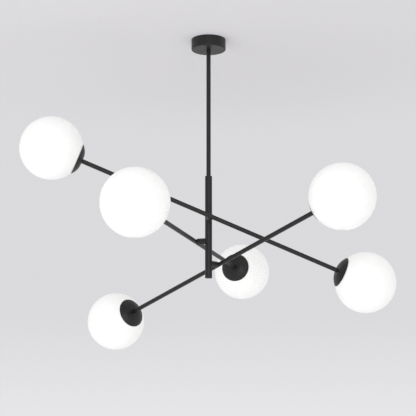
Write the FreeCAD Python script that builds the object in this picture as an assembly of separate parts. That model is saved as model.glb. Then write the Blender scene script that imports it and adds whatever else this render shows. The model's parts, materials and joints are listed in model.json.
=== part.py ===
import FreeCAD, Part
import math
import os

# Ceiling light: a canopy, a down rod and a thicker stem that carries three straight arms.
# Each arm tilts on a friction swivel and ends in two opal globes under shallow cups.
# All sizes are in mm. The ceiling is z = 0, the stem's axis is Z, +Z is up.

# Overall arrangement.
stem_top_drop = 326.4
first_arm_drop = 425.5
arm_pitch = 51.2
stem_past_last_arm = 33.3
arm_offset = 30.5
arm_reach = 388.0
first_azimuth = -77.35
azimuth_steps = (0.0, 240.0, 120.0)
arm_tilts = (-21.06, 3.07, -15.65)

# Canopy and the fixings inside it.
canopy_diameter = 80.0
canopy_height = 25.0
canopy_wall = 1.0
canopy_edge_radius = 2.0
bracket_length = 75.0
bracket_width = 18.0
bracket_sheet = 1.5
bracket_tab_drop = 14.0
bracket_bend = 2.5
bracket_screw_spacing = 48.0
bracket_slot_width = 5.0
bracket_slot_length = 12.0
cable_hole_diameter = 12.0
ear_width = 26.0
ear_length = 21.0
ear_corner = 3.0
grub_screw_diameter = 4.0
grub_screw_length = 6.0
grub_screw_drop = 9.0
grub_socket_flats = 2.0
grub_socket_depth = 2.0
earth_screw_diameter = 4.0
earth_screw_place = 12.5
earth_head_diameter = 7.5
earth_head_height = 2.4
earth_head_round = 1.0
earth_slot_width = 1.0
earth_slot_depth = 1.2
terminal_width = 26.0
terminal_depth = 16.0
terminal_height = 12.0
terminal_near_side = 13.0
terminal_pole_pitch = 8.0
terminal_corner = 1.5
terminal_tower_diameter = 6.0
terminal_tower_height = 1.6
terminal_tower_inset = 4.0
terminal_screw_diameter = 3.0
terminal_screw_length = 4.0
terminal_slot_width = 0.6
terminal_slot_depth = 0.8
terminal_entry = 3.4
terminal_entry_depth = 5.0
terminal_entry_drop = 6.0
terminal_peg_diameter = 3.0
star_washer_diameter = 15.0
star_washer_thickness = 1.0
star_washer_teeth = 10
star_washer_notch = 1.6
canopy_nut_flats = 12.0
canopy_nut_height = 3.0
nut_corner_slope = 0.6
cord_grip_diameter = 12.0
cord_grip_height = 6.4
cord_grip_edge = 1.5
cord_grip_overlap = 4.0

# Tubes, nipples and leads.
rod_diameter = 10.0
rod_wall = 1.0
stem_diameter = 16.0
stem_wall = 1.25
rod_in_bush = 12.0
bush_flange = 1.2
bush_length = 16.0
plug_flange = 1.5
plug_length = 10.0
plug_edge_radius = 1.2
nipple_wall = 1.0
canopy_nipple_in_rod = 14.0
cup_nipple_in_arm = 12.0
cup_nipple_in_holder = 8.0
supply_lead_diameter = 4.4
supply_lead_bend = 6.0
supply_lead_past_last_arm = 4.0
arm_lead_diameter = 3.0

# Tilting swivels, measured outward from the stem's axis.
swivel_diameter = 14.0
swivel_edge = 0.4
swivel_seam = 16.6
spigot_diameter = 7.0
spigot_end = 3.4
saddle_nut_flats = 9.0
saddle_nut_end = 3.6
friction_washer_diameter = 12.0
friction_washer_thickness = 0.4
pin_diameter = 5.0
pin_bore = 3.6
pin_start = 9.0
pin_journal = 3.85
pin_flange_diameter = 6.6
pin_flange = 1.1
head_counterbore = 7.0
head_saddle_depth = 2.0
head_end_radius = 2.2

# Globes and what closes and lights them.
globe_diameter = 140.0
globe_wall = 3.0
globe_mouth_diameter = 51.2
globe_mouth_round = 1.2
cup_diameter = 70.0
cup_wall = 1.0
cup_height = 11.2
cup_lip = 1.8
cup_lip_turn = 3.0
cup_flat_diameter = 18.0
spring_plate_diameter = 17.0
spring_sheet = 0.8
spring_leaf_width = 8.0
spring_leaf_count = 3
spring_leaf_nose = 0.6
spring_shoulder = 3.2
spring_waist_inset = 4.8
spring_waist_rise = 1.6
spring_mouth_gap = 1.6
spring_nose_drop = 2.4
spring_tail_inset = 3.2
spring_tail_drop = 8.8
holder_diameter = 26.0
holder_neck_diameter = 15.0
holder_neck_length = 5.0
holder_shoulder = 3.0
holder_length = 32.6
holder_bore_depth = 22.0
holder_edge = 1.0
bulb_cap_diameter = 14.0
bulb_cap_taper = 2.0
bulb_tip_diameter = 6.0
bulb_tip_length = 1.0
bulb_skirt_diameter = 30.0
bulb_skirt_length = 10.0
bulb_ball_diameter = 45.0

# Clearances.
turning_gap = 0.05
thread_gap = 0.05
hole_gap = 0.1
seat_gap = 0.15
lead_gap = 0.3

across = FreeCAD.Vector(1, 0, 0)
away = FreeCAD.Vector(0, 1, 0)
up = FreeCAD.Vector(0, 0, 1)
origin = FreeCAD.Vector(0, 0, 0)

os.makedirs("parts", exist_ok=True)


def save(name, *solids):
    shape = solids[0] if len(solids) == 1 else Part.makeCompound(list(solids))
    shape.exportStep("parts/" + name + ".step")


def rod(radius, start, end):
    return Part.makeCylinder(radius, end - start, FreeCAD.Vector(0, 0, start), up)


def tube(outer, inner, start, end):
    return rod(outer, start, end).cut(rod(inner, start - 1, end + 1))


def box(x_span, y_span, z_span):
    corner = FreeCAD.Vector(x_span[0], y_span[0], z_span[0])
    return Part.makeBox(x_span[1] - x_span[0], y_span[1] - y_span[0], z_span[1] - z_span[0], corner)


def outline(start, *steps):
    # Closed face in X and Z. A pair is a straight step, a pair of pairs is an arc through the first.
    edges = []
    here = FreeCAD.Vector(start[0], 0, start[1])
    for step in steps:
        if isinstance(step[0], tuple):
            middle = FreeCAD.Vector(step[0][0], 0, step[0][1])
            there = FreeCAD.Vector(step[1][0], 0, step[1][1])
            edges.append(Part.Arc(here, middle, there).toShape())
        else:
            there = FreeCAD.Vector(step[0], 0, step[1])
            edges.append(Part.makeLine(here, there))
        here = there
    return Part.Face(Part.Wire(edges))


def turned(start, *steps):
    return outline(start, *steps).revolve(origin, up, 360)


def bend(centre_x, centre_z, radius, degrees):
    angle = math.radians(degrees)
    return (centre_x + radius * math.cos(angle), centre_z + radius * math.sin(angle))


def hex_prism(flats, start, end):
    reach = flats / math.sqrt(3)
    points = []
    for k in range(7):
        x, y = bend(0, 0, reach, 60 * k)
        points.append(FreeCAD.Vector(x, y, start))
    return Part.Face(Part.makePolygon(points)).extrude(up * (end - start))


def hex_nut(flats, bore, start, end):
    # The corners are turned off at both faces, as on a bought nut.
    reach = flats / math.sqrt(3)
    drop = (reach - flats / 2) * nut_corner_slope
    barrel = turned((0, start), (flats / 2, start), (reach, start + drop), (reach, end - drop),
                    (flats / 2, end), (0, end), (0, start))
    return hex_prism(flats, start, end).common(barrel).cut(rod(bore, start - 1, end + 1))


def placed(shape, at, z_axis, x_axis):
    # Turns a piece built on Z so that its Z and X lie along the given directions, then moves it.
    y_axis = z_axis.cross(x_axis)
    matrix = FreeCAD.Matrix(x_axis.x, y_axis.x, z_axis.x, at.x,
                            x_axis.y, y_axis.y, z_axis.y, at.y,
                            x_axis.z, y_axis.z, z_axis.z, at.z,
                            0, 0, 0, 1)
    return shape.transformed(matrix, copy=True)


# Ceiling bracket: a strap with two bent tabs, and an ear that carries the terminal block.
half_length = bracket_length / 2
half_width = bracket_width / 2
inner_bend = bracket_bend - bracket_sheet
bend_x = half_length - bracket_bend
strap = outline(
    (-half_length, -bracket_tab_drop),
    (-half_length, -bracket_bend),
    (bend(-bend_x, -bracket_bend, bracket_bend, 135), (-bend_x, 0)),
    (bend_x, 0),
    (bend(bend_x, -bracket_bend, bracket_bend, 45), (half_length, -bracket_bend)),
    (half_length, -bracket_tab_drop),
    (half_length - bracket_sheet, -bracket_tab_drop),
    (half_length - bracket_sheet, -bracket_bend),
    (bend(bend_x, -bracket_bend, inner_bend, 45), (bend_x, -bracket_sheet)),
    (-bend_x, -bracket_sheet),
    (bend(-bend_x, -bracket_bend, inner_bend, 135), (-half_length + bracket_sheet, -bracket_bend)),
    (-half_length + bracket_sheet, -bracket_tab_drop),
    (-half_length, -bracket_tab_drop),
).extrude(away * bracket_width)
strap.translate(away * -half_width)
ear_far = half_width + ear_length
ear = box((-ear_width / 2, ear_width / 2), (half_width - 2, ear_far - ear_corner), (-bracket_sheet, 0))
ear = ear.fuse(box((-ear_width / 2 + ear_corner, ear_width / 2 - ear_corner), (half_width, ear_far),
                   (-bracket_sheet, 0)))
for side in (-1, 1):
    rounded = rod(ear_corner, -bracket_sheet, 0)
    rounded.translate(FreeCAD.Vector(side * (ear_width / 2 - ear_corner), ear_far - ear_corner, 0))
    ear = ear.fuse(rounded)
bracket = strap.fuse(ear)
bracket = bracket.cut(rod(cable_hole_diameter / 2, -bracket_sheet - 1, 1))
slot_radius = bracket_slot_width / 2
slot_run = bracket_slot_length / 2 - slot_radius
for side in (-1, 1):
    middle = side * bracket_screw_spacing / 2
    slot = box((middle - slot_run, middle + slot_run), (-slot_radius, slot_radius), (-bracket_sheet - 1, 1))
    for end in (-1, 1):
        slot_end = rod(slot_radius, -bracket_sheet - 1, 1)
        slot_end.translate(across * (middle + end * slot_run))
        slot = slot.fuse(slot_end)
    bracket = bracket.cut(slot)
    tab_at = FreeCAD.Vector(side * (half_length - 2 * bracket_sheet), 0, -grub_screw_drop)
    tab_hole = Part.makeCylinder(grub_screw_diameter / 2 + thread_gap, bracket_bend + 2 * bracket_sheet,
                                 tab_at, across * side)
    bracket = bracket.cut(tab_hole)
earth_hole = rod(earth_screw_diameter / 2 + thread_gap, -bracket_sheet - 1, 1)
earth_hole.translate(across * -earth_screw_place)
bracket = bracket.cut(earth_hole)
peg_y = terminal_near_side + terminal_depth / 2
for side in (-1, 1):
    peg_hole = rod(terminal_peg_diameter / 2 + thread_gap, -bracket_sheet - 1, 1)
    peg_hole.translate(FreeCAD.Vector(side * terminal_pole_pitch / 2, peg_y, 0))
    bracket = bracket.cut(peg_hole)
save("ceiling_bracket", bracket.removeSplitter())

# Canopy: a drawn cup with its open side against the ceiling.
canopy_radius = canopy_diameter / 2
canopy_inner = canopy_radius - canopy_wall
inner_edge = canopy_edge_radius - canopy_wall
nipple_radius = rod_diameter / 2 - rod_wall
edge_x = canopy_radius - canopy_edge_radius
edge_z = -canopy_height + canopy_edge_radius
floor_top = -canopy_height + canopy_wall
canopy = turned(
    (nipple_radius + hole_gap, -canopy_height),
    (edge_x, -canopy_height),
    (bend(edge_x, edge_z, canopy_edge_radius, -45), (canopy_radius, edge_z)),
    (canopy_radius, 0),
    (canopy_inner, 0),
    (canopy_inner, edge_z),
    (bend(edge_x, edge_z, inner_edge, -45), (edge_x, floor_top)),
    (nipple_radius + hole_gap, floor_top),
    (nipple_radius + hole_gap, -canopy_height),
)
grub_screws = []
for side in (-1, 1):
    screw_at = FreeCAD.Vector(side * (canopy_radius - hole_gap), 0, -grub_screw_drop)
    hole_at = FreeCAD.Vector(side * (canopy_inner - 2), 0, -grub_screw_drop)
    screw_hole = Part.makeCylinder(grub_screw_diameter / 2 + hole_gap, canopy_wall + 4,
                                   hole_at, across * side)
    canopy = canopy.cut(screw_hole)
    screw = rod(grub_screw_diameter / 2, 0, grub_screw_length)
    screw = screw.cut(hex_prism(grub_socket_flats, -1, grub_socket_depth))
    grub_screws.append(placed(screw, screw_at, across * -side, up))
save("canopy", canopy)
save("canopy_grub_screws", *grub_screws)

# Earth screw under the strap.
earth_low = -bracket_sheet - earth_head_height
earth_side = earth_head_diameter / 2
earth_flat = earth_side - earth_head_round
earth = turned((0, earth_low),
               (earth_flat, earth_low),
               (bend(earth_flat, earth_low + earth_head_round, earth_head_round, -45),
                (earth_side, earth_low + earth_head_round)),
               (earth_side, -bracket_sheet),
               (earth_screw_diameter / 2, -bracket_sheet),
               (earth_screw_diameter / 2, -hole_gap),
               (0, -hole_gap),
               (0, earth_low))
earth = earth.cut(box((-earth_head_diameter, earth_head_diameter),
                      (-earth_slot_width / 2, earth_slot_width / 2),
                      (earth_low - 1, earth_low + earth_slot_depth)))
earth.translate(across * -earth_screw_place)
save("earth_screw", earth)

# Terminal block: three poles in a row, two screws for each pole, pegs through the ear.
block_low = -bracket_sheet - terminal_height
block_far = terminal_near_side + terminal_depth
block = box((-terminal_width / 2, terminal_width / 2), (terminal_near_side, block_far),
            (block_low, -bracket_sheet))
upright = [edge for edge in block.Edges
           if abs(edge.Vertexes[0].Z - edge.Vertexes[1].Z) > terminal_height / 2]
block = block.makeFillet(terminal_corner, upright)
for side in (-1, 1):
    peg = rod(terminal_peg_diameter / 2, -bracket_sheet - 1, -hole_gap)
    peg.translate(FreeCAD.Vector(side * terminal_pole_pitch / 2, peg_y, 0))
    block = block.fuse(peg)
terminal_screws = []
entry_half = terminal_entry / 2
entry_z = -bracket_sheet - terminal_entry_drop
tower_low = block_low - terminal_tower_height
screw_top = tower_low + terminal_screw_length
for pole in (-1, 0, 1):
    pole_x = pole * terminal_pole_pitch
    for edge_y, inward in ((terminal_near_side, 1), (block_far, -1)):
        tower_at = FreeCAD.Vector(pole_x, edge_y + inward * terminal_tower_inset, 0)
        tower = rod(terminal_tower_diameter / 2, tower_low, block_low + 1)
        tower.translate(tower_at)
        bore = rod(terminal_screw_diameter / 2 + thread_gap, tower_low - 1, screw_top)
        bore.translate(tower_at)
        block = block.fuse(tower).cut(bore)
        # The supply lead meets the block at the middle pole, so no way in is cut there.
        if pole or inward < 0:
            entry_y = sorted((edge_y - inward, edge_y + inward * terminal_entry_depth))
            block = block.cut(box((pole_x - entry_half, pole_x + entry_half), entry_y,
                                  (entry_z - entry_half, entry_z + entry_half)))
        screw = rod(terminal_screw_diameter / 2, tower_low, screw_top)
        screw = screw.cut(box((-terminal_screw_diameter, terminal_screw_diameter),
                              (-terminal_slot_width / 2, terminal_slot_width / 2),
                              (tower_low - 1, tower_low + terminal_slot_depth)))
        screw.translate(tower_at)
        terminal_screws.append(screw)
save("terminal_block", block.removeSplitter())
save("terminal_screws", *terminal_screws)

# Nipple, washer, nut and cord grip that hold the rod in the canopy.
washer_top = floor_top + star_washer_thickness
nut_top = washer_top + canopy_nut_height
grip_top = nut_top + cord_grip_height
nipple_top = nut_top + cord_grip_overlap
nipple_bore = nipple_radius - nipple_wall
save("canopy_nipple", tube(nipple_radius, nipple_bore, -canopy_height - canopy_nipple_in_rod, nipple_top))
star_washer = tube(star_washer_diameter / 2, nipple_radius + hole_gap, floor_top, washer_top)
for tooth in range(star_washer_teeth):
    x, y = bend(0, 0, star_washer_diameter / 2, 360 * tooth / star_washer_teeth)
    notch = rod(star_washer_notch, floor_top - 1, washer_top + 1)
    notch.translate(FreeCAD.Vector(x, y, 0))
    star_washer = star_washer.cut(notch)
save("canopy_washer", star_washer)
save("canopy_nut", hex_nut(canopy_nut_flats, nipple_radius + thread_gap, washer_top, nut_top))
lead_radius = supply_lead_diameter / 2
grip_radius = cord_grip_diameter / 2
grip_flat = grip_radius - cord_grip_edge
grip_shoulder = grip_top - cord_grip_edge
save("cord_grip", turned(
    (nipple_radius + thread_gap, nut_top),
    (grip_radius, nut_top),
    (grip_radius, grip_shoulder),
    (bend(grip_flat, grip_shoulder, cord_grip_edge, 45), (grip_flat, grip_top)),
    (lead_radius + hole_gap, grip_top),
    (lead_radius + hole_gap, nipple_top),
    (nipple_radius + thread_gap, nipple_top),
    (nipple_radius + thread_gap, nut_top),
))

# Supply lead: from the terminal block, over a bend, then down the rod and the stem.
last_arm_drop = first_arm_drop + 2 * arm_pitch
stem_end_drop = last_arm_drop + stem_past_last_arm
lead_end = -last_arm_drop - supply_lead_past_last_arm
lead_top = entry_z
bend_low = lead_top - supply_lead_bend
half_turn = supply_lead_bend * math.sqrt(0.5)
bend_start = FreeCAD.Vector(0, 0, bend_low)
bend_middle = FreeCAD.Vector(0, supply_lead_bend - half_turn, bend_low + half_turn)
bend_end = FreeCAD.Vector(0, supply_lead_bend, lead_top)
path = Part.Wire([
    Part.makeLine(FreeCAD.Vector(0, 0, lead_end), bend_start),
    Part.Arc(bend_start, bend_middle, bend_end).toShape(),
    Part.makeLine(bend_end, FreeCAD.Vector(0, terminal_near_side, lead_top)),
])
section = Part.Wire([Part.makeCircle(lead_radius, FreeCAD.Vector(0, 0, lead_end), up)])
save("supply_lead", path.makePipeShell([section], True, False))

# Down rod, the bush that joins it to the stem, the stem and its end plug.
rod_radius = rod_diameter / 2
stem_radius = stem_diameter / 2
stem_inner = stem_radius - stem_wall
rod_low = -stem_top_drop - rod_in_bush
save("down_rod", tube(rod_radius, nipple_radius, rod_low, -canopy_height))
flange_low = -stem_top_drop - bush_flange
bush_low = -stem_top_drop - bush_length
save("stem_top_bush", turned(
    (rod_radius + thread_gap, -stem_top_drop),
    (stem_radius - swivel_edge, -stem_top_drop),
    (stem_radius, -stem_top_drop - swivel_edge),
    (stem_radius, flange_low),
    (stem_inner, flange_low),
    (stem_inner, bush_low),
    (nipple_radius, bush_low),
    (nipple_radius, rod_low),
    (rod_radius + thread_gap, rod_low),
    (rod_radius + thread_gap, -stem_top_drop),
))
stem_low = -stem_end_drop + plug_flange
plug_edge = stem_radius - plug_edge_radius
save("stem_end_plug", turned(
    (0, -stem_end_drop),
    (plug_edge, -stem_end_drop),
    (bend(plug_edge, -stem_end_drop + plug_edge_radius, plug_edge_radius, -45),
     (stem_radius, -stem_end_drop + plug_edge_radius)),
    (stem_radius, stem_low),
    (stem_inner, stem_low),
    (stem_inner, stem_low + plug_length),
    (0, stem_low + plug_length),
    (0, -stem_end_drop),
))
stem = tube(stem_radius, stem_inner, stem_low, flange_low)

# Fixed half of a swivel, built outward along Z with the stem's axis along X.
swivel_radius = swivel_diameter / 2
spigot_radius = spigot_diameter / 2
pin_radius = pin_diameter / 2
across_stem = Part.makeCylinder(stem_radius, 4 * stem_radius, across * (-2 * stem_radius), across)
within_stem = Part.makeCylinder(stem_inner, 4 * stem_radius, across * (-2 * stem_radius), across)
barrel = turned((0, 0),
                (swivel_radius, 0),
                (swivel_radius, swivel_seam - swivel_edge),
                (swivel_radius - swivel_edge, swivel_seam),
                (0, swivel_seam),
                (0, 0))
swivel_base = barrel.cut(across_stem).fuse(rod(spigot_radius, spigot_end, stem_radius + 1))
swivel_base = swivel_base.cut(rod(pin_radius + thread_gap, 0, swivel_seam + 1)).removeSplitter()
saddle_nut = hex_prism(saddle_nut_flats, saddle_nut_end, stem_radius).common(within_stem)
saddle_nut = saddle_nut.cut(rod(spigot_radius + thread_gap, 0, stem_radius + 1))
washer_end = swivel_seam + friction_washer_thickness
friction_washer = tube(friction_washer_diameter / 2, pin_radius + thread_gap, swivel_seam, washer_end)
pin_step = washer_end + pin_journal + turning_gap
pivot_pin = rod(pin_radius, pin_start, pin_step)
pivot_pin = pivot_pin.fuse(rod(pin_flange_diameter / 2, pin_step, pin_step + pin_flange))
pivot_pin = pivot_pin.cut(rod(pin_bore / 2, 0, arm_offset)).removeSplitter()

# Turning half of a swivel, with the arm's axis along X and its end hollowed to sit on the arm.
head_end = arm_offset - rod_radius + head_saddle_depth
head_round = head_end - head_end_radius
head_flat = swivel_radius - head_end_radius
arm_start = FreeCAD.Vector(-2 * rod_radius, 0, arm_offset)
arm_cylinder = Part.makeCylinder(rod_radius, 4 * rod_radius, arm_start, across)
swivel_head = turned((pin_radius + turning_gap, washer_end),
                     (swivel_radius - swivel_edge, washer_end),
                     (swivel_radius, washer_end + swivel_edge),
                     (swivel_radius, head_round),
                     (bend(head_flat, head_round, head_end_radius, 45), (head_flat, head_end)),
                     (head_counterbore / 2, head_end),
                     (head_counterbore / 2, washer_end + pin_journal),
                     (pin_radius + turning_gap, washer_end + pin_journal),
                     (pin_radius + turning_gap, washer_end))
swivel_head = swivel_head.cut(arm_cylinder)

# Globe, cup and fittings of one arm end, built on Z: the globe's centre is the origin, the arm is above.
globe_radius = globe_diameter / 2
globe_inner = globe_radius - globe_wall
mouth_radius = globe_mouth_diameter / 2


def sphere_height(radius, at):
    return math.sqrt(radius ** 2 - at ** 2)


mouth_high = sphere_height(globe_radius, mouth_radius)
mouth_low = sphere_height(globe_inner, mouth_radius)
mouth_middle = (mouth_high + mouth_low) / 2
globe = turned(
    (0, -globe_radius),
    ((globe_radius, 0), (mouth_radius, mouth_high)),
    ((mouth_radius - globe_mouth_round, mouth_middle), (mouth_radius, mouth_low)),
    ((globe_inner, 0), (0, -globe_inner)),
    (0, -globe_radius),
)

# The cup's lip turns inward to rest on the glass, its dome runs in one arc into a flat at the arm.
cup_radius = cup_diameter / 2
cup_flat = cup_flat_diameter / 2
lip_end = cup_radius - cup_lip_turn
rim_z = sphere_height(globe_radius, lip_end) + seat_gap
cup_top = rim_z + cup_height
cup_inside = cup_top - cup_wall
lip_z = rim_z + cup_lip
dome_rise = cup_top - lip_z
dome_radius = ((cup_radius - cup_flat) ** 2 + dome_rise ** 2) / (2 * dome_rise)
dome_z = cup_top - dome_radius
inner_dome = dome_radius - cup_wall


def dome_point(radius, at):
    return (at, dome_z + sphere_height(radius, at - cup_flat))


lip_inner = cup_radius - cup_wall
cup = turned(
    (cup_radius, rim_z),
    (cup_radius, lip_z),
    (dome_point(dome_radius, (cup_radius + cup_flat) / 2), (cup_flat, cup_top)),
    (nipple_radius + hole_gap, cup_top),
    (nipple_radius + hole_gap, cup_inside),
    (cup_flat, cup_inside),
    (dome_point(inner_dome, (lip_inner + cup_flat) / 2), dome_point(inner_dome, lip_inner)),
    (lip_inner, rim_z + cup_wall),
    (lip_end, rim_z + cup_wall),
    (lip_end, rim_z),
    (cup_radius, rim_z),
)

# Spring clip: a disc under the cup, with leaves that reach through the globe's mouth and hook its edge.
plate_low = cup_inside - spring_sheet
leaf_z = (cup_inside + plate_low) / 2
leaf_path = [
    (nipple_radius + spring_sheet, leaf_z),
    (holder_neck_diameter / 2 + spring_sheet / 2, leaf_z),
    (cup_flat + spring_shoulder, leaf_z - spring_sheet),
    (mouth_radius - spring_waist_inset, mouth_high + spring_waist_rise),
    (mouth_radius - globe_mouth_round - spring_mouth_gap, mouth_middle),
    (mouth_radius - globe_mouth_round + spring_leaf_nose, mouth_low - spring_nose_drop),
    (mouth_radius - spring_tail_inset, mouth_low - spring_tail_drop),
]


def strip(points, thickness):
    # Thin bent strip around a path in X and Z, mitred at each bend.
    normals = []
    for (x0, z0), (x1, z1) in zip(points, points[1:]):
        length = math.hypot(x1 - x0, z1 - z0)
        normals.append((-(z1 - z0) / length, (x1 - x0) / length))
    upper = []
    lower = []
    for k, (x, z) in enumerate(points):
        before = normals[max(k - 1, 0)]
        after = normals[min(k, len(normals) - 1)]
        mx, mz = before[0] + after[0], before[1] + after[1]
        share = thickness / (mx * before[0] + mz * before[1]) / 2
        upper.append((x + mx * share, z + mz * share))
        lower.append((x - mx * share, z - mz * share))
    loop = upper + lower[::-1]
    return outline(loop[0], *loop[1:], loop[0])


leaf = strip(leaf_path, spring_sheet).extrude(away * spring_leaf_width)
leaf.translate(away * (-spring_leaf_width / 2))
spring = tube(spring_plate_diameter / 2, nipple_radius + hole_gap, plate_low, cup_inside)
for k in range(spring_leaf_count):
    turned_leaf = leaf.copy()
    turned_leaf.rotate(origin, up, 360 * k / spring_leaf_count)
    spring = spring.fuse(turned_leaf)
spring = spring.cut(rod(nipple_radius + hole_gap, plate_low - 1, cup_inside + 1)).removeSplitter()

# Lampholder screwed on the nipple, and its bulb.
holder_radius = holder_diameter / 2
neck_radius = holder_neck_diameter / 2
holder_low = plate_low - holder_length
neck_low = plate_low - holder_neck_length
seat_z = plate_low - cup_nipple_in_holder
contact_z = holder_low + holder_bore_depth
cap_radius = bulb_cap_diameter / 2
holder = turned(
    (nipple_radius + thread_gap, plate_low),
    (neck_radius, plate_low),
    (neck_radius, neck_low),
    (holder_radius, neck_low - holder_shoulder),
    (holder_radius, holder_low + holder_edge),
    (bend(holder_radius - holder_edge, holder_low + holder_edge, holder_edge, -45),
     (holder_radius - holder_edge, holder_low)),
    (cap_radius + thread_gap, holder_low),
    (cap_radius + thread_gap, contact_z),
    (0, contact_z),
    (0, seat_z),
    (nipple_radius + thread_gap, seat_z),
    (nipple_radius + thread_gap, plate_low),
)
cap_high = contact_z - bulb_tip_length
skirt_low = holder_low - bulb_skirt_length
ball_radius = bulb_ball_diameter / 2
skirt_radius = bulb_skirt_diameter / 2
ball_z = skirt_low - sphere_height(ball_radius, skirt_radius)
bulb = turned(
    (0, ball_z - ball_radius),
    ((ball_radius, ball_z), (skirt_radius, skirt_low)),
    (cap_radius, holder_low),
    (cap_radius, cap_high - bulb_cap_taper),
    (bulb_tip_diameter / 2, cap_high),
    (bulb_tip_diameter / 2, contact_z),
    (0, contact_z),
    (0, ball_z - ball_radius),
)
nipple = tube(nipple_radius, nipple_bore, seat_z, cup_top + cup_nipple_in_arm)

# One swivel and one arm at each level.
swivel_bases = []
saddle_nuts = []
friction_washers = []
pivot_pins = []
arm_end = arm_reach - cup_top
for number in (1, 2, 3):
    azimuth = math.radians(first_azimuth + azimuth_steps[number - 1])
    tilt = math.radians(arm_tilts[number - 1])
    outward = FreeCAD.Vector(math.cos(azimuth), math.sin(azimuth), 0)
    level = up.cross(outward)
    along = level * math.cos(tilt) + up * math.sin(tilt)
    crossing = up * -(first_arm_drop + (number - 1) * arm_pitch)
    stem = stem.cut(placed(rod(spigot_radius + thread_gap, 0, stem_radius + 1), crossing, outward, up))
    swivel_bases.append(placed(swivel_base, crossing, outward, up))
    saddle_nuts.append(placed(saddle_nut, crossing, outward, up))
    friction_washers.append(placed(friction_washer, crossing, outward, up))
    pivot_pins.append(placed(pivot_pin, crossing, outward, up))
    save("swivel_head_%d" % number, placed(swivel_head, crossing, outward, along))
    middle = crossing + outward * arm_offset
    arm = tube(rod_radius, nipple_radius, -arm_end, arm_end)
    wire_hole = Part.makeCylinder(head_counterbore / 2, rod_diameter, origin, across * -1)
    save("arm_tube_%d" % number, placed(arm.cut(wire_hole), middle, along, outward))
    lead_span = arm_reach - seat_z
    branch_length = arm_offset - lead_radius - lead_gap
    branch = Part.makeCylinder(arm_lead_diameter / 2, branch_length, origin, across * -1)
    lead = rod(arm_lead_diameter / 2, -lead_span, lead_span).fuse(branch).removeSplitter()
    save("arm_lead_%d" % number, placed(lead, middle, along, outward))
    nipples = []
    springs = []
    for letter, direction in (("a", along * -1), ("b", along)):
        name = "%d%s" % (number, letter)
        centre = middle + direction * arm_reach
        inward = direction * -1
        save("globe_" + name, placed(globe, centre, inward, outward))
        save("cup_" + name, placed(cup, centre, inward, outward))
        save("lampholder_" + name, placed(holder, centre, inward, outward))
        save("bulb_" + name, placed(bulb, centre, inward, outward))
        nipples.append(placed(nipple, centre, inward, outward))
        springs.append(placed(spring, centre, inward, outward))
    save("arm_nipples_%d" % number, *nipples)
    save("globe_springs_%d" % number, *springs)
save("stem_tube", stem)
save("swivel_bases", *swivel_bases)
save("swivel_nuts", *saddle_nuts)
save("friction_washers", *friction_washers)
save("pivot_pins", *pivot_pins)
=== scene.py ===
import json
import math

import bmesh
import bpy
import numpy as np
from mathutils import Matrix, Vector


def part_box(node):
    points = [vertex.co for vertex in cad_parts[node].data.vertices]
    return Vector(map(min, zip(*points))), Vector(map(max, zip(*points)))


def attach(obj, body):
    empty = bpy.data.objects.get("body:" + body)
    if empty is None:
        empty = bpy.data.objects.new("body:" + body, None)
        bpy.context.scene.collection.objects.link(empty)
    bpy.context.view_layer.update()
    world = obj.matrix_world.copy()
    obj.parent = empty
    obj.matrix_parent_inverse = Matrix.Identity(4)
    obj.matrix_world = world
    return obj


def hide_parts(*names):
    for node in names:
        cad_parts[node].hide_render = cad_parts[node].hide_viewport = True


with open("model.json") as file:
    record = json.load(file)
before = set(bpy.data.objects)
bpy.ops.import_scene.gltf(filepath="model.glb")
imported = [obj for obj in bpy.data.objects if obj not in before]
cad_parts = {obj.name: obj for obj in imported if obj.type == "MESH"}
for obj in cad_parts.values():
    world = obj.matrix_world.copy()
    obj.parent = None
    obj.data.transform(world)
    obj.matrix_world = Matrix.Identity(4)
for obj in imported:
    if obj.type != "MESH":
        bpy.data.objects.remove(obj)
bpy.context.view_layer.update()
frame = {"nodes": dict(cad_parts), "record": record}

# Three-arm globe pendant, in metres: ceiling at z = 0, stem along Z, viewer on the -Y side.
nodes = frame["nodes"]
arms = (1, 2, 3)


# Wiring of node trees, for shaders and geometry alike.
def pickSocket(sockets, key):
    if isinstance(key, int):
        return sockets[key]
    for socket in sockets:
        if socket.identifier == key or (socket.enabled and socket.name == key):
            return socket
    raise KeyError(key)


class Wire:
    def __init__(self, graph, socket):
        self.graph = graph
        self.socket = socket

    def __getitem__(self, key):  # another output of the same node
        return Wire(self.graph, pickSocket(self.socket.node.outputs, key))

    def maths(self, operation, first, second=0.0):
        return self.graph.add("ShaderNodeMath", {"operation": operation}, {0: first, 1: second})

    def __add__(self, other):
        return self.maths("ADD", self, other)

    def __radd__(self, other):
        return self.maths("ADD", other, self)

    def __sub__(self, other):
        return self.maths("SUBTRACT", self, other)

    def __rsub__(self, other):
        return self.maths("SUBTRACT", other, self)

    def __mul__(self, other):
        return self.maths("MULTIPLY", self, other)

    def __rmul__(self, other):
        return self.maths("MULTIPLY", other, self)

    def __truediv__(self, other):
        return self.maths("DIVIDE", self, other)

    def __pow__(self, other):
        return self.maths("POWER", self, other)

    def least(self, other):
        return self.maths("MINIMUM", self, other)

    def most(self, other):
        return self.maths("MAXIMUM", self, other)

    def sine(self):
        return self.maths("SINE", self)

    def cosine(self):
        return self.maths("COSINE", self)

    def arcsine(self):
        return self.maths("ARCSINE", self)


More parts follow.
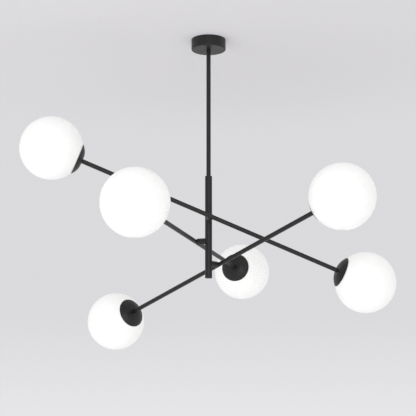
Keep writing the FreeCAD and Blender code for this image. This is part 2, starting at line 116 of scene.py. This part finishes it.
class Graph:
    def __init__(self, tree):
        self.tree = tree
        tree.nodes.clear()

    def add(self, kind, settings=None, sockets=None):
        node = self.tree.nodes.new(kind)
        for name, value in (settings or {}).items():
            if name == "stops":
                self.setStops(node.color_ramp, value)
            else:
                setattr(node, name, value)
        for key, value in (sockets or {}).items():
            self.feed(pickSocket(node.inputs, key), value)
        shown = [socket for socket in node.outputs if socket.enabled]
        return Wire(self, shown[0]) if shown else node

    def feed(self, socket, value):
        if isinstance(value, Wire):
            self.tree.links.new(value.socket, socket)
        else:
            socket.default_value = value

    def setStops(self, ramp, stops):
        while len(ramp.elements) < len(stops):
            ramp.elements.new(1.0)
        for element, (place, colour) in zip(ramp.elements, stops):
            element.position = place
            element.color = (*colour, 1.0)

    def place(self):
        return self.add("ShaderNodeTexCoord")["Object"]

    def noise(self, place, scale, detail, roughness):
        sockets = {"Vector": place, "Scale": scale, "Detail": detail, "Roughness": roughness}
        return self.add("ShaderNodeTexNoise", {}, sockets)

    def bump(self, height, strength, distance):
        sockets = {"Height": height, "Strength": strength, "Distance": distance}
        return self.add("ShaderNodeBump", {}, sockets)

    def blend(self, factor, first, second):
        sockets = {"Factor_Float": factor, "A_Color": (*first, 1.0), "B_Color": (*second, 1.0)}
        return self.add("ShaderNodeMix", {"data_type": "RGBA"}, sockets)["Result_Color"]

    def spread(self, value, low, high, fromLow=0.3, fromHigh=0.7):  # most noise lies between 0.3 and 0.7
        sockets = {"Value": value, "From Min": fromLow, "From Max": fromHigh,
                   "To Min": low, "To Max": high}
        return self.add("ShaderNodeMapRange", {"clamp": True}, sockets)


def newFinish(name):
    material = bpy.data.materials.new(name)
    material.use_nodes = True
    return material, Graph(material.node_tree)


def closeFinish(graph, sockets):
    shader = graph.add("ShaderNodeBsdfPrincipled", {}, sockets)
    graph.add("ShaderNodeOutputMaterial", {}, {"Surface": shader})


# Satin black powder coat: fine orange peel, slightly cloudy tone and gloss.
blackCoat = {"low": (0.0070, 0.0070, 0.0076), "high": (0.0100, 0.0100, 0.0106), "gloss": (0.40, 0.50),
             "shine": 0.43, "cloudScale": 38.0, "cloudInTone": 0.6, "cloudInGloss": 0.5,
             "peelScale": 1100.0, "peelShare": 0.75, "grainScale": 5200.0,
             "peelStrength": 0.55, "peelDepth": 0.00003}


def makeBlackCoat():
    material, g = newFinish("black_powder_coat")
    place = g.place()
    cloud = g.noise(place, blackCoat["cloudScale"], detail=4.0, roughness=0.6)
    peel = g.noise(place, blackCoat["peelScale"], detail=2.0, roughness=0.5)
    grain = g.noise(place, blackCoat["grainScale"], detail=1.0, roughness=0.5)
    height = peel * blackCoat["peelShare"] + grain * (1 - blackCoat["peelShare"])
    tone = g.spread(cloud * blackCoat["cloudInTone"] + grain * (1 - blackCoat["cloudInTone"]), 0.0, 1.0)
    haze = cloud * blackCoat["cloudInGloss"] + peel * (1 - blackCoat["cloudInGloss"])
    closeFinish(g, {"Base Color": g.blend(tone, blackCoat["low"], blackCoat["high"]),
                    "Roughness": g.spread(haze, *blackCoat["gloss"]),
                    "Specular IOR Level": blackCoat["shine"],
                    "Normal": g.bump(height, blackCoat["peelStrength"], blackCoat["peelDepth"])})
    return material


# Blown opal glass, lit from inside: the glow is painted dimmer near the mouth, a painted shade standing in
# for the holder's shadow.
opalGlass = {"body": (0.80, 0.80, 0.79), "streak": (0.845, 0.845, 0.84), "streakScale": 55.0,
             "glowFar": (0.345, 0.345, 0.341), "glowMouth": (0.315, 0.311, 0.304),
             "glowRange": (0.02, 0.35), "glowWander": 0.05,
             "gloss": (0.28, 0.36), "shine": 0.1,
             "coat": (0.5, 0.6), "coatGloss": 0.15, "coatIndex": 1.5,
             "waveScale": 16.0, "waveStrength": 0.12, "waveDepth": 0.0006}


def makeOpalGlass():
    material, g = newFinish("opal_glass")
    place = g.place()
    fromMouth = g.add("ShaderNodeAttribute", {"attribute_name": "fromMouth"})["Fac"]
    wave = g.noise(place, opalGlass["waveScale"], detail=1.0, roughness=0.4)
    streak = g.noise(place, opalGlass["streakScale"], detail=3.0, roughness=0.55)
    wander = (streak - 0.5) * opalGlass["glowWander"]
    # painted shade: the glow colour is blended down towards the mouth, in place of the holder's shadow
    paintedShadeFade = g.spread(fromMouth + wander, 0.0, 1.0, *opalGlass["glowRange"])
    colour = g.blend(g.spread(streak, 0.0, 1.0), opalGlass["body"], opalGlass["streak"])
    closeFinish(g, {"Base Color": colour,
                    "Roughness": g.spread(wave, *opalGlass["gloss"]),
                    "Specular IOR Level": opalGlass["shine"],
                    "Emission Color": g.blend(paintedShadeFade, opalGlass["glowMouth"], opalGlass["glowFar"]),
                    "Emission Strength": 1.0,
                    "Coat Weight": g.spread(streak, *opalGlass["coat"]),
                    "Coat Roughness": opalGlass["coatGloss"], "Coat IOR": opalGlass["coatIndex"],
                    "Normal": g.bump(wave, opalGlass["waveStrength"], opalGlass["waveDepth"])})
    return material


# Bare metals: a spangle or drawn grain in tone, gloss and height.
metals = {
    "zinc_steel": {"low": (0.50, 0.51, 0.54), "high": (0.68, 0.69, 0.70), "gloss": (0.28, 0.44),
                   "scale": 420.0, "stretch": (1, 1, 1), "depth": 0.00002},
    "spring_steel": {"low": (0.34, 0.35, 0.38), "high": (0.52, 0.52, 0.54), "gloss": (0.22, 0.36),
                     "scale": 300.0, "stretch": (1, 1, 6), "depth": 0.00001},
    "turned_brass": {"low": (0.66, 0.47, 0.19), "high": (0.83, 0.64, 0.31), "gloss": (0.20, 0.34),
                     "scale": 260.0, "stretch": (1, 1, 9), "depth": 0.00002},
}
metalMarks = {"grainShare": 0.6, "cellScale": 0.6, "strength": 0.4}


def makeMetal(name):
    size = metals[name]
    material, g = newFinish(name)
    place = g.place()
    drawn = g.add("ShaderNodeMapping", {}, {"Vector": place, "Scale": size["stretch"]})
    grain = g.noise(drawn, size["scale"], detail=4.0, roughness=0.6)
    cells = {"Vector": place, "Scale": size["scale"] * metalMarks["cellScale"]}
    spangle = g.add("ShaderNodeTexVoronoi", {"feature": "F1"}, cells)["Distance"]
    mark = grain * metalMarks["grainShare"] + spangle * (1 - metalMarks["grainShare"])
    closeFinish(g, {"Base Color": g.blend(g.spread(mark, 0.0, 1.0), size["low"], size["high"]),
                    "Metallic": 1.0, "Roughness": g.spread(grain, *size["gloss"]),
                    "Normal": g.bump(mark, metalMarks["strength"], size["depth"])})
    return material


# Moulded pieces: flow mottling and a fine spark-eroded texture.
mouldings = {
    "white_nylon": {"low": (0.74, 0.735, 0.70), "high": (0.82, 0.815, 0.79), "gloss": (0.42, 0.56),
                    "glow": 0.0},
    "holder_plastic": {"low": (0.72, 0.72, 0.70), "high": (0.79, 0.79, 0.775), "gloss": (0.38, 0.50),
                       "glow": 0.0},
    "bulb_white": {"low": (0.80, 0.79, 0.76), "high": (0.86, 0.855, 0.84), "gloss": (0.26, 0.34),
                   "glow": 0.6},
    "lead_sheath": {"low": (0.016, 0.016, 0.017), "high": (0.030, 0.030, 0.031), "gloss": (0.46, 0.60),
                    "glow": 0.0},
}
mouldMarks = {"flowScale": 120.0, "flowInGloss": 0.5, "sparkScale": 2600.0, "sparkStrength": 0.4,
              "sparkDepth": 0.00002}


def makeMoulding(name):
    size = mouldings[name]
    material, g = newFinish(name)
    place = g.place()
    flow = g.noise(place, mouldMarks["flowScale"], detail=3.0, roughness=0.55)
    spark = g.noise(place, mouldMarks["sparkScale"], detail=1.0, roughness=0.5)
    haze = flow * mouldMarks["flowInGloss"] + spark * (1 - mouldMarks["flowInGloss"])
    colour = g.blend(g.spread(flow, 0.0, 1.0), size["low"], size["high"])
    sockets = {"Base Color": colour, "Roughness": g.spread(haze, *size["gloss"]),
               "Normal": g.bump(spark, mouldMarks["sparkStrength"], mouldMarks["sparkDepth"])}
    if size["glow"]:
        sockets["Emission Color"] = colour
        sockets["Emission Strength"] = size["glow"]
    closeFinish(g, sockets)
    return material


finishes = {"black_powder_coat": makeBlackCoat(), "opal_glass": makeOpalGlass()}
for name in metals:
    finishes[name] = makeMetal(name)
for name in mouldings:
    finishes[name] = makeMoulding(name)
for row in frame["record"]["subparts"]:
    piece = nodes[row["node"]]
    piece.data.materials.clear()
    piece.data.materials.append(finishes[row["material_slot"]])


# Where each arm lies: its middle, and its direction from globe a to globe b.
def coords(node):
    return np.array([v.co for v in nodes[node].data.vertices])


def armLine(number):
    low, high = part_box("arm_tube_%d" % number)
    points = coords("arm_tube_%d" % number)
    along = Vector(np.linalg.svd(points - points.mean(0), full_matrices=False)[2][0])
    towardB = sum(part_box("globe_%db" % number), Vector()) - sum(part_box("globe_%da" % number), Vector())
    return (low + high) / 2, along * math.copysign(1.0, along.dot(towardB))


armLines = {number: armLine(number) for number in arms}
armReach = 0.388  # from an arm's middle to the centres of its globes


def alongArm(node, number):
    middle, along = armLines[number]
    return (coords(node) - np.array(middle)) @ np.array(along)


# Geometry trees: a shape made on Z, set at the ends of a line with its Z towards the line's middle.
def openTree(name, sizes):
    tree = bpy.data.node_groups.new(name, "GeometryNodeTree")
    tree.interface.new_socket("Geometry", in_out="OUTPUT", socket_type="NodeSocketGeometry")
    for label, size in sizes.items():
        kind = "NodeSocketInt" if isinstance(size, int) else "NodeSocketFloat"
        tree.interface.new_socket(label, in_out="INPUT", socket_type=kind)
    for label in ("Middle", "Along"):
        tree.interface.new_socket(label, in_out="INPUT", socket_type="NodeSocketVector")
    tree.interface.new_socket("Finish", in_out="INPUT", socket_type="NodeSocketMaterial")
    g = Graph(tree)
    return tree, g, g.add("NodeGroupInput")


def closeTree(g, given, shape):
    # The ends start as points at x = -1 and 1, so that X tells the side.
    points = {"Count": given["Ends"], "Start Location": (-1, 0, 0), "Offset": (2, 0, 0)}
    ends = g.add("GeometryNodeMeshLine", {"mode": "OFFSET"}, points)
    side = g.add("ShaderNodeSeparateXYZ", {}, {0: g.add("GeometryNodeInputPosition")})["X"]
    scaled = {0: given["Along"], "Scale": -1.0 * side}
    facing = g.add("ShaderNodeVectorMath", {"operation": "SCALE"}, scaled)
    scaled = {0: given["Along"], "Scale": given["Reach"] * side}
    spot = g.add("ShaderNodeVectorMath", {"operation": "SCALE"}, scaled)
    spot = g.add("ShaderNodeVectorMath", {"operation": "ADD"}, {0: spot, 1: given["Middle"]})
    rotation = g.add("FunctionNodeAlignRotationToVector", {"axis": "Z"}, {"Vector": facing})
    ends = g.add("GeometryNodeStoreNamedAttribute", {"data_type": "QUATERNION", "domain": "POINT"},
                 {"Geometry": ends, "Name": "facing", "Value": rotation})
    ends = g.add("GeometryNodeSetPosition", {}, {"Geometry": ends, "Position": spot})
    held = g.add("GeometryNodeInputNamedAttribute", {"data_type": "QUATERNION"}, {"Name": "facing"})
    sockets = {"Points": ends, "Instance": shape, "Rotation": held}
    placed = g.add("GeometryNodeInstanceOnPoints", {}, sockets)
    placed = g.add("GeometryNodeRealizeInstances", {}, {"Geometry": placed})
    placed = g.add("GeometryNodeSetMaterial", {}, {"Geometry": placed, "Material": given["Finish"]})
    g.add("NodeGroupOutput", {}, {0: placed})


def runTree(name, tree, values):
    # The modifier's inputs are set first, then the result is kept as a plain mesh.
    holder = bpy.data.objects.new(name, bpy.data.meshes.new(name + "_seed"))
    bpy.context.scene.collection.objects.link(holder)
    modifier = holder.modifiers.new("build", "NODES")
    modifier.node_group = tree
    for item in tree.interface.items_tree:
        if item.in_out == "INPUT":
            modifier[item.identifier] = values[item.name]
    graph = bpy.context.evaluated_depsgraph_get()
    made = bpy.data.meshes.new_from_object(holder.evaluated_get(graph), depsgraph=graph)
    made.name = name
    holder.modifiers.clear()
    holder.data = made
    return holder


# Thin shells turned about Z: a grid goes out along one face, round the edge and back along the other.
def openShell(g, mesh):
    grid = g.add("GeometryNodeMeshGrid", {}, {"Size X": 1.0, "Size Y": 1.0,
                                              "Vertices X": mesh["meridians"],
                                              "Vertices Y": mesh["parallels"]})
    place = g.add("ShaderNodeSeparateXYZ", {}, {0: g.add("GeometryNodeInputPosition")})
    turn = (place["X"] + 0.5) * (2 * math.pi)
    travel = place["Y"] + 0.5
    share = mesh["faceShare"]
    edge = g.add("ShaderNodeClamp", {}, {"Value": (travel - share) / (1 - 2 * share)}) * math.pi
    out = (travel.least(1 - travel) / share).least(1.0)
    return grid, turn, out, edge


def closeShell(g, mesh, shell, turn, level, height):
    sockets = {0: level * turn.cosine(), 1: level * turn.sine(), 2: height}
    point = g.add("ShaderNodeCombineXYZ", {}, sockets)
    shell = g.add("GeometryNodeSetPosition", {}, {"Geometry": shell, "Position": point})
    shell = g.add("GeometryNodeMergeByDistance", {}, {"Geometry": shell, "Distance": mesh["weld"]})
    return g.add("GeometryNodeSetShadeSmooth", {}, {"Geometry": shell})


# Opal globes by one rule: the outer sphere, a fire-polished lip, then back along the inner sphere.
# Their radius is a hundredth of a millimetre under the solids', to stay inside the solids' box.
globeSizes = {"Radius": 0.06999, "Wall": 0.003, "Mouth Radius": 0.0256, "Lip Round": 0.0010,
              "Reach": armReach, "Ends": 2}
globeMesh = {"meridians": 97, "parallels": 121, "faceShare": 0.47, "weld": 0.000005}


def makeGlobeTree():
    tree, g, given = openTree("blownGlobes", globeSizes)
    shell, turn, out, edge = openShell(g, globeMesh)
    mouthAngle = math.pi - (given["Mouth Radius"] / given["Radius"]).arcsine()
    polar = mouthAngle * out + edge.sine() * given["Lip Round"] / given["Radius"]
    radius = given["Radius"] - given["Wall"] * 0.5 * (1 - edge.cosine())
    shell = g.add("GeometryNodeStoreNamedAttribute", {"data_type": "FLOAT", "domain": "POINT"},
                  {"Geometry": shell, "Name": "fromMouth", "Value": 1 - polar / mouthAngle})
    shell = closeShell(g, globeMesh, shell, turn, radius * polar.sine(), -1.0 * radius * polar.cosine())
    closeTree(g, given, shell)
    return tree


globeTree = makeGlobeTree()
for number, (middle, along) in armLines.items():
    values = dict(globeSizes, Middle=middle, Along=along, Finish=finishes["opal_glass"])
    pair = runTree("globes_%d" % number, globeTree, values)
    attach(pair, "arm_%d" % number)
    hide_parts("globe_%da" % number, "globe_%db" % number)
print("globes:", 2 * len(arms), "on", len(arms), "arms")


# Spun cups by one rule: the dome falls from a flat crown to a thin rounded rim.
# The heights of crown and rim are read from each arm's own cup.
cupSizes = {"Rim Radius": 0.0347, "Flat Radius": 0.0090, "Hole Radius": 0.0041, "Wall": 0.0006,
            "Crown": 0.0, "Rim": 0.0, "Reach": armReach, "Ends": 2}
cupMesh = {"meridians": 97, "parallels": 81, "faceShare": 0.46, "weld": 0.000005,
           "bellyPower": 2.0, "holeTaper": 8.0}


def makeCupTree():
    tree, g, given = openTree("spunCups", cupSizes)
    sheet, turn, out, edge = openShell(g, cupMesh)
    wall = given["Wall"] * (out * cupMesh["holeTaper"]).least(1.0)  # closed at the hole, under the arm
    level = given["Hole Radius"] + (given["Rim Radius"] - given["Hole Radius"]) * out
    fall = ((level - given["Flat Radius"]) / (given["Rim Radius"] - given["Flat Radius"])).most(0.0)
    dome = given["Crown"] - (given["Crown"] - given["Rim"]) * fall ** cupMesh["bellyPower"]
    sheet = closeShell(g, cupMesh, sheet, turn, level + wall * 0.5 * edge.sine(),
                       dome - wall * 0.5 * (1 + edge.cosine()))
    closeTree(g, given, sheet)
    return tree


cupTree = makeCupTree()
for number, (middle, along) in armLines.items():
    places = alongArm("cup_%db" % number, number)
    values = dict(cupSizes, Middle=middle, Along=along, Finish=finishes["black_powder_coat"],
                  Crown=cupSizes["Reach"] - places.min(), Rim=cupSizes["Reach"] - places.max())
    pair = runTree("cups_%d" % number, cupTree, values)
    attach(pair, "arm_%d" % number)
    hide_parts("cup_%da" % number, "cup_%db" % number)
print("cups:", 2 * len(arms), "on", len(arms), "arms")


# Grip ribs along a moulded barrel: a ring of slim bars, half sunk in it and thinned to their ends.
# Start and end are read from the barrel that they stand on.
holderRibs = {"Count": 24, "Barrel Radius": 0.0130, "Rib Width": 0.0011, "Start": 0.0, "End": 0.0,
              "Reach": armReach, "Ends": 2}
holderMargins = {"mouth": 0.0022, "neck": 0.0095}
cordGripMargins = {"low": 0.0006, "high": 0.0018}
ribMesh = {"sides": 8, "steps": 9, "taper": 0.75, "taperPower": 6}


def makeRibTree():
    tree, g, given = openTree("gripRibs", holderRibs)
    low = g.add("ShaderNodeCombineXYZ", {}, {2: given["Start"]})
    high = g.add("ShaderNodeCombineXYZ", {}, {2: given["End"]})
    bar = g.add("GeometryNodeCurvePrimitiveLine", {"mode": "POINTS"}, {"Start": low, "End": high})
    bar = g.add("GeometryNodeResampleCurve", {}, {"Curve": bar, "Count": ribMesh["steps"]})
    travel = g.add("GeometryNodeSplineParameter")["Factor"]
    belly = 1 - (2 * travel - 1) ** ribMesh["taperPower"] * ribMesh["taper"]
    bar = g.add("GeometryNodeSetCurveRadius", {}, {"Curve": bar, "Radius": belly})
    section = g.add("GeometryNodeCurvePrimitiveCircle", {"mode": "RADIUS"},
                    {"Resolution": ribMesh["sides"], "Radius": given["Rib Width"] * 0.5})
    sockets = {"Curve": bar, "Profile Curve": section, "Fill Caps": True}
    bar = g.add("GeometryNodeCurveToMesh", {}, sockets)
    bar = g.add("GeometryNodeSetShadeSmooth", {}, {"Geometry": bar})
    ring = g.add("GeometryNodeMeshCircle", {"fill_type": "NONE"},
                 {"Vertices": given["Count"], "Radius": given["Barrel Radius"]})
    ribs = g.add("GeometryNodeInstanceOnPoints", {}, {"Points": ring, "Instance": bar})
    closeTree(g, given, ribs)
    return tree


ribTree = makeRibTree()
for number, (middle, along) in armLines.items():
    places = alongArm("lampholder_%db" % number, number)
    values = dict(holderRibs, Middle=middle, Along=along, Finish=finishes["holder_plastic"],
                  Start=holderRibs["Reach"] - places.max() + holderMargins["mouth"],
                  End=holderRibs["Reach"] - places.min() - holderMargins["neck"])
    ribs = runTree("holder_ribs_%d" % number, ribTree, values)
    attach(ribs, "arm_%d" % number)
gripLow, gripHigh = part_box("cord_grip")
cordGripRibs = {"Count": 18, "Barrel Radius": (gripHigh.x - gripLow.x) / 2, "Rib Width": 0.0008,
                "Start": gripLow.z + cordGripMargins["low"], "End": gripHigh.z - cordGripMargins["high"],
                "Reach": 0.0, "Ends": 1}
values = dict(cordGripRibs, Middle=Vector((0, 0, 0)), Along=Vector((0, 0, 1)),
              Finish=finishes["white_nylon"])
ribs = runTree("cord_grip_ribs", ribTree, values)
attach(ribs, "stem")
print("grip ribs:", 2 * len(arms), "lampholders and the cord grip")


# Stage: a pale backdrop, a floor, and a ceiling that is seen only from below.
backdrop = {"floorTone": (0.76, 0.755, 0.77), "lowTone": (0.795, 0.785, 0.80),
            "midTone": (0.706, 0.699, 0.715), "highTone": (0.703, 0.697, 0.713), "light": 0.62,
            "stops": ((0.0, "floorTone"), (0.48, "lowTone"), (0.505, "lowTone"),
                      (0.545, "midTone"), (0.66, "midTone"), (0.70, "highTone"))}  # 0.5 is the horizon
floorSizes = {"drop": 3.2, "reach": 60.0, "lift": 0.31, "speckScale": 3.0,
              "low": (0.77, 0.765, 0.78), "high": (0.79, 0.785, 0.80)}
ceilingSizes = {"hole": 0.036, "solid": 0.18, "reach": 0.95, "steps": 96, "lift": 0.142,
                "paint": (0.80, 0.79, 0.805), "plasterScale": 90.0, "plasterStrength": 0.1,
                "plasterDepth": 0.0002}
liftColour = (1.0, 0.99, 1.01)


def seenDirectly(g):
    ray = g.add("ShaderNodeLightPath")
    return ray["Is Camera Ray"].most(ray["Is Glossy Ray"]).most(ray["Is Transmission Ray"])


def backdropGlow(g, kind, tone):
    # The tone for the eye and for reflections, an even light for everything else.
    seen = g.add(kind, {}, {"Color": tone, "Strength": 1.0})
    light = g.add(kind, {}, {"Color": (1, 1, 1, 1), "Strength": backdrop["light"]})
    return g.add("ShaderNodeMixShader", {}, {0: seenDirectly(g), 1: light, 2: seen})


def liftPaint(g, paint, lift):
    # Brighter to the eye and in reflections, with no more light on the object.
    glow = g.add("ShaderNodeEmission", {}, {"Color": (*liftColour, 1.0), "Strength": lift})
    lifted = g.add("ShaderNodeAddShader", {}, {0: paint, 1: glow})
    return g.add("ShaderNodeMixShader", {}, {0: seenDirectly(g), 1: paint, 2: lifted})


def addStage(name, mesh, material):
    mesh.materials.append(material)
    piece = bpy.data.objects.new(name, mesh)
    bpy.context.scene.collection.objects.link(piece)


def makeFloor():
    material, g = newFinish("pale_floor")
    speck = g.noise(g.place(), floorSizes["speckScale"], detail=4.0, roughness=0.6)
    colour = g.blend(speck, floorSizes["low"], floorSizes["high"])
    paint = g.add("ShaderNodeBsdfDiffuse", {}, {"Color": colour})
    g.add("ShaderNodeOutputMaterial", {}, {"Surface": liftPaint(g, paint, floorSizes["lift"])})
    reach = floorSizes["reach"]
    around = ((-1, -1), (1, -1), (1, 1), (-1, 1))
    corners = [(x * reach, y * reach, -floorSizes["drop"]) for x, y in around]
    mesh = bpy.data.meshes.new("floor")
    mesh.from_pydata(corners, [], [(0, 1, 2, 3)])
    addStage("floor", mesh, material)


def makeCeiling():
    material, g = newFinish("ceiling_paint")
    place = g.place()
    reach = g.add("ShaderNodeVectorMath", {"operation": "LENGTH"}, {0: place})["Value"]
    fade = g.spread(reach, 1.0, 0.0, ceilingSizes["solid"], ceilingSizes["reach"])
    fade = fade * fade * (3 - 2 * fade)  # eased at both ends
    plaster = g.noise(place, ceilingSizes["plasterScale"], detail=3.0, roughness=0.5)
    bump = g.bump(plaster, ceilingSizes["plasterStrength"], ceilingSizes["plasterDepth"])
    paint = g.add("ShaderNodeBsdfDiffuse", {}, {"Color": (*ceilingSizes["paint"], 1.0), "Normal": bump})
    lifted = liftPaint(g, paint, ceilingSizes["lift"])
    beyond = backdropGlow(g, "ShaderNodeEmission", (*backdrop["midTone"], 1.0))  # so no edge shows
    below = g.add("ShaderNodeMixShader", {}, {0: fade, 1: beyond, 2: lifted})
    clear = g.add("ShaderNodeBsdfTransparent")
    above = g.add("ShaderNodeNewGeometry")["Backfacing"]
    mixed = g.add("ShaderNodeMixShader", {}, {0: above, 1: below, 2: clear})
    g.add("ShaderNodeOutputMaterial", {}, {"Surface": mixed})
    rings = bmesh.new()
    steps = ceilingSizes["steps"]
    angles = [2 * math.pi * k / steps for k in range(steps)]
    inner, outer = [[rings.verts.new((radius * math.cos(a), radius * math.sin(a), 0.0)) for a in angles]
                    for radius in (ceilingSizes["hole"], ceilingSizes["reach"])]
    for k in range(steps):
        after = (k + 1) % steps
        rings.faces.new((inner[k], inner[after], outer[after], outer[k]))
    mesh = bpy.data.meshes.new("ceiling")
    rings.to_mesh(mesh)
    rings.free()
    addStage("ceiling", mesh, material)


def makeWorld():
    world = bpy.data.worlds.new("studio")
    bpy.context.scene.world = world
    world.use_nodes = True
    g = Graph(world.node_tree)
    rise = g.add("ShaderNodeSeparateXYZ", {}, {0: g.add("ShaderNodeTexCoord")["Generated"]})["Z"]
    stops = [(place, backdrop[tone]) for place, tone in backdrop["stops"]]
    tone = g.add("ShaderNodeValToRGB", {"stops": stops}, {"Fac": rise * 0.5 + 0.5})
    g.add("ShaderNodeOutputWorld", {}, {"Surface": backdropGlow(g, "ShaderNodeBackground", tone)})


makeFloor()
makeCeiling()
makeWorld()


# Soft studio light: of the three boxes, only the front one shows in reflections.
softboxes = {
    "key": {"at": (-2.6, -2.4, -1.1), "aim": (0, 0, -0.45), "size": 2.2, "power": 24.0,
            "mirrored": False},
    "front": {"at": (0.6, -3.6, -0.9), "aim": (0, 0, -0.45), "size": 1.8, "power": 26.0,
              "mirrored": True},
    "bounce": {"at": (-0.4, -1.2, -2.2), "aim": (-0.4, -1.2, 0), "size": 2.6, "power": 7.5,
               "mirrored": False},
}
for name, size in softboxes.items():
    lamp = bpy.data.lights.new(name, "AREA")
    lamp.size = size["size"]
    lamp.energy = size["power"]
    softbox = bpy.data.objects.new(name, lamp)
    softbox.visible_camera = False
    softbox.visible_glossy = size["mirrored"]
    softbox.location = size["at"]
    softbox.rotation_euler = (Vector(size["aim"]) - softbox.location).to_track_quat("-Z", "Y").to_euler()
    bpy.context.scene.collection.objects.link(softbox)
print("stage: floor, ceiling, world,", len(softboxes), "softboxes")


# Camera at the photograph's place, looking a little up.
cameraSizes = {"at": (-0.0013, -2.597528, -0.883369), "pitch": 10.535, "sensor": 36.0,
               "focalPixels": 1159.8, "imagePixels": 416}
lens = bpy.data.cameras.new("camera")
lens.sensor_width = cameraSizes["sensor"]
lens.lens = cameraSizes["sensor"] * cameraSizes["focalPixels"] / cameraSizes["imagePixels"]
camera = bpy.data.objects.new("camera", lens)
camera.location = cameraSizes["at"]
camera.rotation_euler = (math.radians(90 + cameraSizes["pitch"]), 0, 0)
bpy.context.scene.collection.objects.link(camera)
bpy.context.scene.camera = camera
bpy.context.scene.view_settings.view_transform = "Standard"
